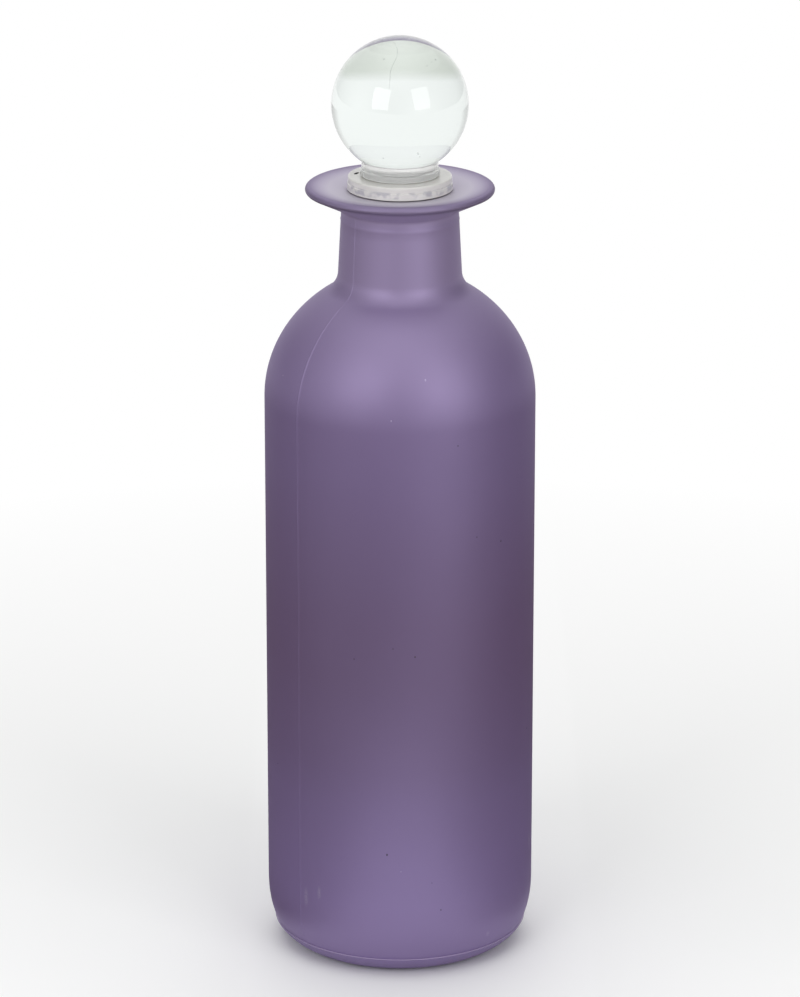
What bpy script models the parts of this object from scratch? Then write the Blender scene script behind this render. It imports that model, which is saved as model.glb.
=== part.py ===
# A frosted glass bottle, closed by a glass ball stopper that stands in a ribbed sealing sleeve.
# Metres, +Z up. The origin is the middle of the base, on the surface that the bottle stands on.
# Every piece is turned round the Z axis, and the stopper's two joints lie on that axis.
import math

import bpy

# Facets round each piece
BOTTLE_STEPS = 48
STOPPER_STEPS = 40

# Bottle, outside
BODY_DIAMETER = 0.075
BODY_LENGTH = 0.1601            # from the base to the foot of the shoulder
SHOULDER_RISE = 0.0365          # height of the shoulder's ellipse
SHOULDER_CENTRE_SHARE = 0.074   # its centre lies past the axis by this share of the body's radius
SHOULDER_FILLET = 0.0069        # hollow round between the shoulder and the neck
NECK_LENGTH = 0.0170            # from the top of the shoulder's ellipse to the lip's underside
NECK_TOP_RADIUS = 0.01605
NECK_TAPER = math.radians(3.0)
NECK_RING_DROP = 0.0030         # the fine parting ring lies this far under the lip
NECK_RING_RISE = 0.0001
NECK_RING_HEIGHT = 0.0008

# Lip
LIP_DIAMETER = 0.0518
LIP_UNDERSIDE_RISE = 0.0045     # from the neck out to the rim
LIP_UNDERSIDE_FILLET = 0.0012
RIM_LOWER_HEIGHT = 0.0008
RIM_LOWER_WIDTH = 0.0006
RIM_UPPER_HEIGHT = 0.00105
RIM_UPPER_WIDTH = 0.0014
LIP_DISH = 0.00135              # the top face falls this much from the rim to the mouth

# Bottle, inside
BORE_DIAMETER = 0.025
MOUTH_ROUND = 0.0008
WALL = 0.003
FLOOR_THICKNESS = 0.0065
FLOOR_CORNER = 0.013

# Foot of the bottle
HEEL_HEIGHT = 0.0188
HEEL_CURVE_POWER = 2.5
SEAM_HEIGHT = 0.0059            # parting ring between the body mould and the bottom plate
SEAM_STEP = 0.00045
BASE_INSET = 0.012              # from the body's side to the ring that it stands on
BASE_ROUND_WIDTH = 0.01205
BASE_ROUND_RISE = 0.01255
CONTACT_RING_WIDTH = 0.003
PUSH_UP = 0.0035
PUSH_UP_CURVE_POWER = 3

# Fits
CLEARANCE = 0.0003              # between neighbouring pieces

# Sealing sleeve
FLANGE_DIAMETER = 0.0290
FLANGE_THICKNESS = 0.00364
FLANGE_DRAFT = 0.0003           # the flange is this much narrower at its top
FLANGE_EDGE = 0.0004
SKIRT_LENGTH = 0.0195
SKIRT_LEAD_IN = 0.0015
RIB_COUNT = 3
RIB_DEPTH = 0.0011
RIB_ROOT_HEIGHT = 0.0018
RIB_TIP_HEIGHT = 0.0007
BEAD_DROP = 0.0125              # from the flange's underside to the middle of the retaining bead

# Ball stopper
BALL_DIAMETER = 0.03736
WAIST_DIAMETER = 0.0210
WAIST_LENGTH = 0.0040
WAIST_FOOT_DIAMETER = 0.0218
WAIST_FOOT_SHARE = 0.47         # share of the waist's length taken by its wider foot
WAIST_GROOVE = 0.0003
WAIST_EDGE = 0.0003
SHANK_DIAMETER = 0.0172
SHANK_LENGTH = 0.0265
SHANK_TAPER = math.radians(1.0)
SHANK_END_ROUND = 0.0015
BEAD_GROOVE_DEPTH = 0.0007
BEAD_GROOVE_FLAT = 0.0016

# Looks
BOTTLE_COLOUR = (0.21, 0.16, 0.29, 1)
STOPPER_COLOUR = (0.90, 0.93, 0.92, 1)
SLEEVE_COLOUR = (0.86, 0.85, 0.82, 1)
BOTTLE_ROUGHNESS = 0.35
STOPPER_ROUGHNESS = 0.02
SLEEVE_ROUGHNESS = 0.18
BOTTLE_TRANSMISSION = 0.5
STOPPER_TRANSMISSION = 1
SLEEVE_TRANSMISSION = 0.6

SHARP_ANGLE = math.radians(32)
CORNER_ROOM_SHARE = 0.45        # a corner round takes at most this share of the sides that it joins
MERGE_DISTANCE = 0.000001

# Places that the pieces share, worked out from the sizes above
BODY_RADIUS = BODY_DIAMETER / 2
LIP_RADIUS = LIP_DIAMETER / 2
BORE_RADIUS = BORE_DIAMETER / 2
CROWN_Z = BODY_LENGTH + SHOULDER_RISE
NECK_TOP_Z = CROWN_Z + NECK_LENGTH
RIM_LOW_Z = NECK_TOP_Z + LIP_UNDERSIDE_RISE
RIM_MID_Z = RIM_LOW_Z + RIM_LOWER_HEIGHT
RIM_TOP_Z = RIM_MID_Z + RIM_UPPER_HEIGHT
RIM_TOP_RADIUS = LIP_RADIUS - RIM_UPPER_WIDTH
MOUTH_RADIUS = BORE_RADIUS + MOUTH_ROUND


def lip_face_height(radius):
    # height of the dished top face of the lip at a radius
    share = (RIM_TOP_RADIUS - radius) / (RIM_TOP_RADIUS - MOUTH_RADIUS)
    return RIM_TOP_Z - LIP_DISH * share


FLANGE_RADIUS = FLANGE_DIAMETER / 2
FLANGE_LOW_Z = lip_face_height(FLANGE_RADIUS) + CLEARANCE
FLANGE_TOP_Z = FLANGE_LOW_Z + FLANGE_THICKNESS
BEAD_Z = FLANGE_LOW_Z - BEAD_DROP
WAIST_LOW_Z = FLANGE_TOP_Z + CLEARANCE
SHANK_END_Z = WAIST_LOW_Z - SHANK_LENGTH


def shank_radius(height):
    # the shank narrows downwards from the foot of the waist
    return SHANK_DIAMETER / 2 - (WAIST_LOW_Z - height) * math.tan(SHANK_TAPER)


def ellipse_arc(centre, width, height, start, end, steps):
    # points (radius, z) along part of an ellipse, with angles in radians from +X
    points = []
    for i in range(steps + 1):
        angle = start + (end - start) * i / steps
        points.append((centre[0] + width * math.cos(angle), centre[1] + height * math.sin(angle)))
    return points


def rounded_corner(before, corner, after, radius, steps):
    # the arc of this radius that is tangent to both sides of a corner
    ax, ay = before[0] - corner[0], before[1] - corner[1]
    bx, by = after[0] - corner[0], after[1] - corner[1]
    a_length, b_length = math.hypot(ax, ay), math.hypot(bx, by)
    ax, ay, bx, by = ax / a_length, ay / a_length, bx / b_length, by / b_length
    half = math.acos(max(-1, min(1, ax * bx + ay * by))) / 2
    radius = min(radius, CORNER_ROOM_SHARE * min(a_length, b_length) * math.tan(half))
    mid_x, mid_y = ax + bx, ay + by
    mid_length = math.hypot(mid_x, mid_y)
    reach = radius / math.sin(half)
    centre = (corner[0] + mid_x / mid_length * reach, corner[1] + mid_y / mid_length * reach)
    run = radius / math.tan(half)
    start = math.atan2(corner[1] + ay * run - centre[1], corner[0] + ax * run - centre[0])
    end = math.atan2(corner[1] + by * run - centre[1], corner[0] + bx * run - centre[0])
    turn = (end - start + math.pi) % (2 * math.pi) - math.pi
    return ellipse_arc(centre, radius, radius, start, start + turn, steps)


def rounded_outline(corners):
    # an open outline from (radius, z, corner round, steps), its two ends left sharp
    points = [corners[0][:2]]
    for i in range(1, len(corners) - 1):
        r, z, corner_round, steps = corners[i]
        if corner_round:
            points += rounded_corner(corners[i - 1][:2], (r, z), corners[i + 1][:2], corner_round, steps)
        else:
            points.append((r, z))
    points.append(corners[-1][:2])
    return points


def shoulder_to_neck(inset, line_radius, line_z, taper, fillet, shoulder_steps, fillet_steps):
    # From the foot of the shoulder up its ellipse, and through a hollow round into the neck's side.
    # The neck's side passes through (line_radius, line_z) and widens downwards by the taper.
    past_axis = SHOULDER_CENTRE_SHARE * BODY_RADIUS
    width = BODY_RADIUS + past_axis - inset
    height = SHOULDER_RISE - inset
    side = (math.cos(taper), math.sin(taper))

    def fillet_centre(angle):
        normal = (math.cos(angle) / width, math.sin(angle) / height)
        length = math.hypot(*normal)
        normal = (normal[0] / length, normal[1] / length)
        r = width * math.cos(angle) - past_axis + fillet * normal[0]
        z = BODY_LENGTH + height * math.sin(angle) + fillet * normal[1]
        return (r, z), normal

    low, high = 0, math.pi / 2
    for _ in range(60):
        angle = (low + high) / 2
        centre, normal = fillet_centre(angle)
        distance = (centre[0] - line_radius) * side[0] + (centre[1] - line_z) * side[1]
        if distance > fillet:
            low = angle
        else:
            high = angle
    arc = ellipse_arc((-past_axis, BODY_LENGTH), width, height, 0, angle, shoulder_steps)
    start = math.atan2(-normal[1], -normal[0])
    end = math.atan2(-side[1], -side[0])
    turn = (end - start + math.pi) % (2 * math.pi) - math.pi
    return arc + ellipse_arc(centre, fillet, fillet, start, start + turn, fillet_steps)[1:]


def bottle_inside():
    # from the middle of the floor, up the wall and through the shoulder into the bore
    wall_radius = BODY_RADIUS - WALL
    floor_z = PUSH_UP + FLOOR_THICKNESS
    corner = (wall_radius - FLOOR_CORNER, floor_z + FLOOR_CORNER)
    points = [(0, floor_z)]
    points += ellipse_arc(corner, FLOOR_CORNER, FLOOR_CORNER, -math.pi / 2, 0, 7)
    points += shoulder_to_neck(WALL, BORE_RADIUS, NECK_TOP_Z, 0, SHOULDER_FILLET + WALL, 9, 4)
    return points


def lip_outline():
    # over the mouth's edge, across the dished face, round the rim and back under to the neck
    mouth_centre = (MOUTH_RADIUS, lip_face_height(MOUTH_RADIUS) - MOUTH_ROUND)
    points = ellipse_arc(mouth_centre, MOUTH_ROUND, MOUTH_ROUND, math.pi, math.pi / 2, 3)
    rim_upper = (RIM_TOP_RADIUS, RIM_MID_Z)
    points += ellipse_arc(rim_upper, RIM_UPPER_WIDTH, RIM_UPPER_HEIGHT, math.pi / 2, 0, 5)
    rim_lower = (LIP_RADIUS - RIM_LOWER_WIDTH, RIM_MID_Z)
    points += ellipse_arc(rim_lower, RIM_LOWER_WIDTH, RIM_LOWER_HEIGHT, 0, -math.pi / 2, 3)[1:]
    return points


def neck_side(height):
    # radius of the neck's tapered side
    return NECK_TOP_RADIUS + (NECK_TOP_Z - height) * math.tan(NECK_TAPER)


def bottle_outside():
    # from the lip's underside down the neck, shoulder, body and heel, and under the base to the axis
    ring_z = NECK_TOP_Z - NECK_RING_DROP
    ring_half = NECK_RING_HEIGHT / 2
    rim_foot = (LIP_RADIUS - RIM_LOWER_WIDTH, RIM_LOW_Z)
    neck_top = (NECK_TOP_RADIUS, NECK_TOP_Z)
    ring_top = (neck_side(ring_z + ring_half), ring_z + ring_half)
    points = rounded_corner(rim_foot, neck_top, ring_top, LIP_UNDERSIDE_FILLET, 3)
    points += [
        ring_top,
        (neck_side(ring_z) + NECK_RING_RISE, ring_z),
        (neck_side(ring_z - ring_half), ring_z - ring_half),
    ]
    upward = shoulder_to_neck(0, NECK_TOP_RADIUS, NECK_TOP_Z, NECK_TAPER, SHOULDER_FILLET, 15, 6)
    points += list(reversed(upward))
    contact_radius = BODY_RADIUS - BASE_INSET
    base_centre = (contact_radius, BASE_ROUND_RISE)
    seam_angle = math.asin((SEAM_HEIGHT - BASE_ROUND_RISE) / BASE_ROUND_RISE)
    base_arc = ellipse_arc(base_centre, BASE_ROUND_WIDTH, BASE_ROUND_RISE, seam_angle, -math.pi / 2, 8)
    seam_radius = base_arc[0][0] - SEAM_STEP
    heel_steps = 6
    for i in range(heel_steps + 1):
        share = i / heel_steps
        r = BODY_RADIUS - (BODY_RADIUS - seam_radius) * share ** HEEL_CURVE_POWER
        points.append((r, HEEL_HEIGHT - (HEEL_HEIGHT - SEAM_HEIGHT) * share))
    points.append((base_arc[0][0], SEAM_HEIGHT - SEAM_STEP / 2))
    points += [point for point in base_arc[1:] if point[1] < SEAM_HEIGHT - SEAM_STEP]
    inner_radius = contact_radius - CONTACT_RING_WIDTH
    dome_steps = 6
    for i in range(dome_steps + 1):
        share = 1 - i / dome_steps
        points.append((inner_radius * share, PUSH_UP * (1 - share ** PUSH_UP_CURVE_POWER)))
    return points


def bottle_profile():
    return bottle_inside() + lip_outline() + bottle_outside()


def skirt_ribs(rib_root, rib_tip):
    # the sealing ribs, from the top one down, as (radius, z, corner round, steps)
    corners = []
    pitch = (SKIRT_LENGTH - SKIRT_LEAD_IN) / (RIB_COUNT + 1)
    for i in range(RIB_COUNT):
        z = FLANGE_LOW_Z - pitch * (i + 1)
        corners += [
            (rib_root, z + RIB_ROOT_HEIGHT / 2, 0, 0),
            (rib_tip, z + RIB_TIP_HEIGHT / 2, 0, 0),
            (rib_tip, z - RIB_TIP_HEIGHT / 2, 0, 0),
            (rib_root, z - RIB_ROOT_HEIGHT / 2, 0, 0),
        ]
    return corners


def sleeve_profile():
    # a closed outline: up the hole, across the flange and down the ribbed skirt
    rib_tip = BORE_RADIUS - CLEARANCE
    rib_root = rib_tip - RIB_DEPTH
    end_z = FLANGE_LOW_Z - SKIRT_LENGTH

    def hole(height):
        return shank_radius(height) + CLEARANCE

    bead_slope = BEAD_GROOVE_DEPTH
    bead_flat = BEAD_GROOVE_FLAT / 2 - CLEARANCE / 2
    bead_low, bead_high = BEAD_Z - bead_flat, BEAD_Z + bead_flat
    corners = [
        (hole(end_z), end_z, 0, 0),
        (hole(bead_low - bead_slope), bead_low - bead_slope, 0, 0),
        (hole(BEAD_Z) - BEAD_GROOVE_DEPTH, bead_low, 0, 0),
        (hole(BEAD_Z) - BEAD_GROOVE_DEPTH, bead_high, 0, 0),
        (hole(bead_high + bead_slope), bead_high + bead_slope, 0, 0),
        (hole(FLANGE_TOP_Z), FLANGE_TOP_Z, 0, 0),
        (FLANGE_RADIUS - FLANGE_DRAFT, FLANGE_TOP_Z, FLANGE_EDGE, 3),
        (FLANGE_RADIUS, FLANGE_LOW_Z, FLANGE_EDGE / 2, 2),
        (rib_root, FLANGE_LOW_Z, 0, 0),
    ]
    corners += skirt_ribs(rib_root, rib_tip)
    corners += [
        (rib_root, end_z + SKIRT_LEAD_IN, 0, 0),
        (rib_root - SKIRT_LEAD_IN / 2, end_z, 0, 0),
        (hole(end_z), end_z, 0, 0),
    ]
    return rounded_outline(corners)


def stopper_profile():
    # from the top of the ball, down the waist and the shank to the axis
    ball_radius = BALL_DIAMETER / 2
    waist_radius = WAIST_DIAMETER / 2
    foot_radius = WAIST_FOOT_DIAMETER / 2
    neck_z = WAIST_LOW_Z + WAIST_LENGTH
    foot_top = WAIST_LOW_Z + WAIST_LENGTH * WAIST_FOOT_SHARE
    ball_z = neck_z + math.sqrt(ball_radius ** 2 - waist_radius ** 2)
    foot_angle = -math.acos(waist_radius / ball_radius)
    points = ellipse_arc((0, ball_z), ball_radius, ball_radius, math.pi / 2, foot_angle, 22)
    points[0] = (0, ball_z + ball_radius)
    groove_low = BEAD_Z - BEAD_GROOVE_FLAT / 2
    groove_high = BEAD_Z + BEAD_GROOVE_FLAT / 2
    groove_floor = shank_radius(BEAD_Z) - BEAD_GROOVE_DEPTH
    groove_top = groove_high + BEAD_GROOVE_DEPTH
    groove_foot = groove_low - BEAD_GROOVE_DEPTH
    corners = [
        (waist_radius, neck_z, 0, 0),
        (waist_radius, foot_top + WAIST_GROOVE / 2, 0, 0),
        (waist_radius - WAIST_GROOVE, foot_top, 0, 0),
        (foot_radius, foot_top - WAIST_GROOVE / 2, WAIST_EDGE, 2),
        (foot_radius, WAIST_LOW_Z, WAIST_EDGE, 2),
        (shank_radius(WAIST_LOW_Z), WAIST_LOW_Z, 0, 0),
        (shank_radius(groove_top), groove_top, 0, 0),
        (groove_floor, groove_high, 0, 0),
        (groove_floor, groove_low, 0, 0),
        (shank_radius(groove_foot), groove_foot, 0, 0),
        (shank_radius(SHANK_END_Z), SHANK_END_Z, SHANK_END_ROUND, 4),
        (0, SHANK_END_Z, 0, 0),
    ]
    return points + rounded_outline(corners)[1:]


def make_material(name, colour, roughness, transmission):
    material = bpy.data.materials.new(name)
    material.use_nodes = True
    shader = material.node_tree.nodes["Principled BSDF"]
    shader.inputs["Base Color"].default_value = colour
    shader.inputs["Roughness"].default_value = roughness
    shader.inputs["Metallic"].default_value = 0
    shader.inputs["Transmission Weight"].default_value = transmission
    material.diffuse_color = colour
    return material


def turned_piece(name, profile, closed, steps, material, collection):
    # an outline of (radius, z) points turned once round the Z axis
    points = [(r, 0, z) for r, z in (profile[:-1] if closed else profile)]
    edges = [(i, i + 1) for i in range(len(points) - 1)]
    if closed:
        edges.append((len(points) - 1, 0))
    outline = bpy.data.meshes.new(name + "_outline")
    outline.from_pydata(points, edges, [])
    piece = bpy.data.objects.new(name, outline)
    collection.objects.link(piece)
    screw = piece.modifiers.new("Turned", "SCREW")
    screw.axis = "Z"
    screw.angle = 2 * math.pi
    screw.steps = steps
    screw.render_steps = steps
    screw.use_merge_vertices = True
    screw.merge_threshold = MERGE_DISTANCE
    bpy.context.view_layer.update()
    evaluated = piece.evaluated_get(bpy.context.evaluated_depsgraph_get())
    mesh = bpy.data.meshes.new_from_object(evaluated)
    mesh.name = name
    piece.modifiers.clear()
    piece.data = mesh
    bpy.data.meshes.remove(outline)
    mesh.shade_smooth()
    mesh.set_sharp_from_angle(angle=SHARP_ANGLE)
    mesh.materials.append(material)
    return piece


def build():
    for old in list(bpy.data.objects):
        bpy.data.objects.remove(old, do_unlink=True)
    collection = bpy.data.collections.new("potion_bottle")
    bpy.context.scene.collection.children.link(collection)
    purple = make_material("frosted_purple_glass", BOTTLE_COLOUR, BOTTLE_ROUGHNESS, BOTTLE_TRANSMISSION)
    clear = make_material("clear_glass", STOPPER_COLOUR, STOPPER_ROUGHNESS, STOPPER_TRANSMISSION)
    milky = make_material("milky_plastic", SLEEVE_COLOUR, SLEEVE_ROUGHNESS, SLEEVE_TRANSMISSION)
    turned_piece("bottle", bottle_profile(), False, BOTTLE_STEPS, purple, collection)
    turned_piece("seal_sleeve", sleeve_profile(), True, STOPPER_STEPS, milky, collection)
    turned_piece("ball_stopper", stopper_profile(), False, STOPPER_STEPS, clear, collection)


build()
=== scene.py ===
import math

import bmesh
import bpy
from mathutils import Matrix, Vector


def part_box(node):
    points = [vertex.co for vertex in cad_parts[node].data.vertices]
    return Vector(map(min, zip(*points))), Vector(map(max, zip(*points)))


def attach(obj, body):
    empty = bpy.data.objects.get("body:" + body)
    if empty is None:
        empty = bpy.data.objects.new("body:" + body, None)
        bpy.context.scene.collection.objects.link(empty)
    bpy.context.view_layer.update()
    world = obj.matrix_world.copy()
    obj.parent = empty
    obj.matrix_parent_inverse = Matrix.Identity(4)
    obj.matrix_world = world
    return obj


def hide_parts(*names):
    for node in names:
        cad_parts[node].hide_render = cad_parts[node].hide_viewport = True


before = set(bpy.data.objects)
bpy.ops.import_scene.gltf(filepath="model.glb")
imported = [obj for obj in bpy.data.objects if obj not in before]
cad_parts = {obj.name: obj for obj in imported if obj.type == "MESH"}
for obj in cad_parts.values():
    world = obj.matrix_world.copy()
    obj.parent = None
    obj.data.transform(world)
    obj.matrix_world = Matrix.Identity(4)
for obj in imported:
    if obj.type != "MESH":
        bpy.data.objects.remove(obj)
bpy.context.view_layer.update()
print("frame loaded:", sorted(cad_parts))


# The camera stands where the photograph was taken from, and looks down a little
cameraPlan = {
    "distance": 1.278,
    "height": 0.55208,
    "tilt": 71.72,
    "lens": 174.64,
    "sensor": 36.0,
    "sees": 50.0,
}


def setCamera(plan):
    data = bpy.data.cameras.new("camera")
    data.lens = plan["lens"]
    data.sensor_width = plan["sensor"]
    data.clip_end = plan["sees"]
    camera = bpy.data.objects.new("camera", data)
    camera.location = (0, -plan["distance"], plan["height"])
    camera.rotation_euler = (math.radians(plan["tilt"]), 0, 0)
    bpy.context.scene.collection.objects.link(camera)
    bpy.context.scene.camera = camera
    print("camera set")


setCamera(cameraPlan)


# How the meshes are made: doubles closer than this are merged, and edges over this angle stay sharp
meshPlan = {
    "mergeDistance": 0.000002,
    "cutDistance": 0.00001,
    "sharpAngle": 35.0,
}


# Outlines: lists of (radius, height) that are turned round the bottle's axis

def arcPoints(centre, width, height, start, end, count):
    # part of an ellipse, angles in degrees from the outward direction
    points = []
    for i in range(count + 1):
        angle = math.radians(start + (end - start) * i / count)
        points.append((centre[0] + width * math.cos(angle), centre[1] + height * math.sin(angle)))
    return points


def shorterTurn(start, end):
    # from one angle to another the shorter way round, in degrees
    return (end - start + 180) % 360 - 180


def cornerArc(before, corner, after, radius, count):
    # a round of this radius, tangent to both sides of a corner
    a = (Vector(before) - Vector(corner)).normalized()
    b = (Vector(after) - Vector(corner)).normalized()
    half = a.angle(b) / 2
    centre = Vector(corner) + (a + b).normalized() * (radius / math.sin(half))
    run = radius / math.tan(half)
    fromArm = Vector(corner) + a * run - centre
    toArm = Vector(corner) + b * run - centre
    start = math.degrees(math.atan2(fromArm.y, fromArm.x))
    end = math.degrees(math.atan2(toArm.y, toArm.x))
    return arcPoints(centre, radius, radius, start, start + shorterTurn(start, end), count)


def straightRun(start, end, count):
    # points between two ends, without the ends
    return [tuple(Vector(start).lerp(Vector(end), i / count)) for i in range(1, count)]


def turnOutline(name, outline, steps, closed=False):
    # spins an outline once round the axis and returns the bmesh
    bm = bmesh.new()
    verts = [bm.verts.new((max(r, 0), 0, z)) for r, z in outline]
    edges = [bm.edges.new(pair) for pair in zip(verts, verts[1:])]
    if closed:
        edges.append(bm.edges.new((verts[-1], verts[0])))
    bmesh.ops.spin(
        bm, geom=verts + edges, axis=(0, 0, 1), cent=(0, 0, 0), dvec=(0, 0, 0),
        angle=2 * math.pi, steps=steps, use_merge=True, use_duplicate=False,
    )
    bmesh.ops.remove_doubles(bm, verts=bm.verts, dist=meshPlan["mergeDistance"])
    bmesh.ops.recalc_face_normals(bm, faces=bm.faces)
    print("turned", name, len(bm.faces), "faces")
    return bm


def finishPiece(bm, name, *materials):
    mesh = bpy.data.meshes.new(name)
    bm.to_mesh(mesh)
    bm.free()
    mesh.shade_smooth()
    mesh.set_sharp_from_angle(angle=math.radians(meshPlan["sharpAngle"]))
    for material in materials:
        mesh.materials.append(material)
    piece = bpy.data.objects.new(name, mesh)
    bpy.context.scene.collection.objects.link(piece)
    return piece


# Materials: every pattern lies on the piece's own Object coordinates

def newMaterial(name):
    material = bpy.data.materials.new(name)
    material.use_nodes = True
    return material, material.node_tree, material.node_tree.nodes["Principled BSDF"]


def feed(tree, value, socket):
    # a number, a colour or a direction is set on the socket, and a node's output is linked to it
    if isinstance(value, bpy.types.NodeSocket):
        tree.links.new(value, socket)
    else:
        socket.default_value = value


def objectPlace(tree):
    return tree.nodes.new("ShaderNodeTexCoord").outputs["Object"]


def axisPart(tree, vector, axis):
    node = tree.nodes.new("ShaderNodeSeparateXYZ")
    tree.links.new(vector, node.inputs["Vector"])
    return node.outputs[axis]


def mathNode(tree, operation, *values):
    node = tree.nodes.new("ShaderNodeMath")
    node.operation = operation
    for socket, value in zip(node.inputs, values):
        feed(tree, value, socket)
    return node.outputs["Value"]


def vectorNode(tree, operation, *values):
    node = tree.nodes.new("ShaderNodeVectorMath")
    node.operation = operation
    for socket, value in zip(node.inputs, values):
        feed(tree, value, socket)
    return node.outputs["Value" if operation in ("LENGTH", "DOT_PRODUCT") else "Vector"]


def noiseNode(tree, place, scale, detail):
    node = tree.nodes.new("ShaderNodeTexNoise")
    for name, value in (("Vector", place), ("Scale", scale), ("Detail", detail)):
        feed(tree, value, node.inputs[name])
    return node.outputs["Fac"]


def rangeNode(tree, value, low, high, fromLow=0.0, fromHigh=1.0):
    node = tree.nodes.new("ShaderNodeMapRange")
    for name, number in (("From Min", fromLow), ("From Max", fromHigh), ("To Min", low), ("To Max", high)):
        node.inputs[name].default_value = number
    tree.links.new(value, node.inputs["Value"])
    return node.outputs["Result"]


def colourMix(tree, factor, under, over):
    node = tree.nodes.new("ShaderNodeMix")
    node.data_type = "RGBA"
    for name, value in (("Factor", factor), ("A", under), ("B", over)):
        feed(tree, value, node.inputs[name])
    return node.outputs["Result"]


def bumpNode(tree, height, distance, under=None):
    node = tree.nodes.new("ShaderNodeBump")
    node.inputs["Distance"].default_value = distance
    tree.links.new(height, node.inputs["Height"])
    if under is not None:
        tree.links.new(under, node.inputs["Normal"])
    return node.outputs["Normal"]


def shadeMix(tree, factor, under, over):
    # the surface is one shader or the other
    node = tree.nodes.new("ShaderNodeMixShader")
    for socket, value in zip(node.inputs, (factor, under, over)):
        tree.links.new(value, socket)
    tree.links.new(node.outputs["Shader"], tree.nodes["Material Output"].inputs["Surface"])


# Ranges are heights in metres, or for rimReach distances from the axis
frostedFinishAndPaintedLight = {
    "paleColour": (0.121, 0.079, 0.193, 1),
    "deepColour": (0.107, 0.068, 0.173, 1),
    "gloss": (0.735, 0.62, 0.955, 1),
    "glossLevel": 1.0,
    "ior": 2.05,
    "roughness": 0.52,
    "roughSpread": 0.04,
    # painted shade darkens the body half-way up, and painted light makes it paler near the foot and in the neck
    "midColour": (0.098, 0.055, 0.138, 1),
    "midRange": (0.050, 0.088, 0.104, 0.146),
    "footColour": (0.136, 0.092, 0.228, 1),
    "footRange": (0.008, 0.022, 0.034, 0.062),
    "neckLightColour": (0.195, 0.149, 0.260, 1),
    "neckRange": (0.160, 0.196),
    # painted light makes the lip's underside paler, painted shade darkens the rim, and a painted sheen makes
    # the lip's upper face pale
    "undersideLightColour": (0.265, 0.212, 0.340, 1),
    "underRange": (0.2115, 0.2140),
    "rimShadeColour": (0.104, 0.080, 0.138, 1),
    "rimRange": (0.2168, 0.2180),
    "rimReach": (0.0195, 0.0246),
    "lipSheenColour": (0.50, 0.485, 0.51, 1),
    "lipRange": (0.2183, 0.2186),
    "grainScale": 2600.0,
    "grainHeight": 0.00001,
    "cloudScale": 38.0,
    "waveScale": 26.0,
    "waveHeight": 0.00035,
}


# Rubbed places near the foot: degrees to the right of the front, height, half width, half height
scuffPlan = {
    "places": (
        (-44.6, 0.0212, 0.0010, 0.0034), (-37.1, 0.0238, 0.0008, 0.0026), (42.3, 0.0098, 0.0011, 0.0018),
        (77.0, 0.0310, 0.0009, 0.0030), (128.0, 0.0245, 0.0012, 0.0040), (173.0, 0.0196, 0.0009, 0.0022),
        (-122.0, 0.0275, 0.0010, 0.0031),
    ),
    "radius": 0.0373,
    "colour": (0.24, 0.205, 0.31, 1),
    "breakScale": 1400.0,
    "breaks": (0.2, 1, 0.35, 0.6),
}


def addScuffs(tree, place, tone, plan):
    worn = 0.0
    for angle, up, wide, high in plan["places"]:
        turn = math.radians(angle)
        middle = (math.sin(turn) * plan["radius"], -math.cos(turn) * plan["radius"], up)
        apart = vectorNode(tree, "DIVIDE", vectorNode(tree, "SUBTRACT", place, middle), (wide, wide, high))
        near = rangeNode(tree, vectorNode(tree, "LENGTH", apart), 1, 0)
        worn = mathNode(tree, "MAXIMUM", near, worn)
    rub = rangeNode(tree, noiseNode(tree, place, plan["breakScale"], 2), *plan["breaks"])
    return colourMix(tree, mathNode(tree, "MULTIPLY", worn, rub), tone, plan["colour"])


def frostedGlass(finish):
    material, tree, shader = newMaterial("frostedPurpleGlass")
    place = objectPlace(tree)
    height = axisPart(tree, place, "Z")
    cloud = noiseNode(tree, place, finish["cloudScale"], 4)
    tone = colourMix(tree, cloud, finish["paleColour"], finish["deepColour"])
    # painted shade makes the body darker half-way up, and painted light makes it paler near the foot and in the
    # thin neck
    for zone in ("mid", "foot"):
        start, full, wane, end = finish[zone + "Range"]
        rise = rangeNode(tree, height, 0, 1, start, full)
        share = mathNode(tree, "MULTIPLY", rise, rangeNode(tree, height, 1, 0, wane, end))
        tone = colourMix(tree, share, tone, finish[zone + "Colour"])
    tone = colourMix(tree, rangeNode(tree, height, 0, 1, *finish["neckRange"]), tone, finish["neckLightColour"])
    tone = addScuffs(tree, place, tone, scuffPlan)
    # painted light makes the lip's underside paler, a painted sheen makes the lip's upper face pale as far as
    # its rim, and painted shade makes the rim darker
    tone = colourMix(tree, rangeNode(tree, height, 0, 1, *finish["underRange"]), tone, finish["undersideLightColour"])
    fromAxis = vectorNode(tree, "LENGTH", vectorNode(tree, "MULTIPLY", place, (1, 1, 0)))
    out = rangeNode(tree, fromAxis, 0, 1, *finish["rimReach"])
    rimShade = mathNode(tree, "MULTIPLY", rangeNode(tree, height, 0, 1, *finish["rimRange"]), out)
    tone = colourMix(tree, rimShade, tone, finish["rimShadeColour"])
    onTop = rangeNode(tree, height, 0, 1, *finish["lipRange"])
    lipSheen = mathNode(tree, "MULTIPLY", onTop, mathNode(tree, "SUBTRACT", 1.0, out))
    feed(tree, colourMix(tree, lipSheen, tone, finish["lipSheenColour"]), shader.inputs["Base Color"])
    low, high = finish["roughness"] - finish["roughSpread"], finish["roughness"] + finish["roughSpread"]
    feed(tree, rangeNode(tree, cloud, low, high), shader.inputs["Roughness"])
    wave = bumpNode(tree, noiseNode(tree, place, finish["waveScale"], 1), finish["waveHeight"])
    grain = bumpNode(tree, noiseNode(tree, place, finish["grainScale"], 2), finish["grainHeight"], wave)
    feed(tree, grain, shader.inputs["Normal"])
    shader.inputs["Specular Tint"].default_value = finish["gloss"]
    shader.inputs["Specular IOR Level"].default_value = finish["glossLevel"]
    shader.inputs["IOR"].default_value = finish["ior"]
    return material


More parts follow.
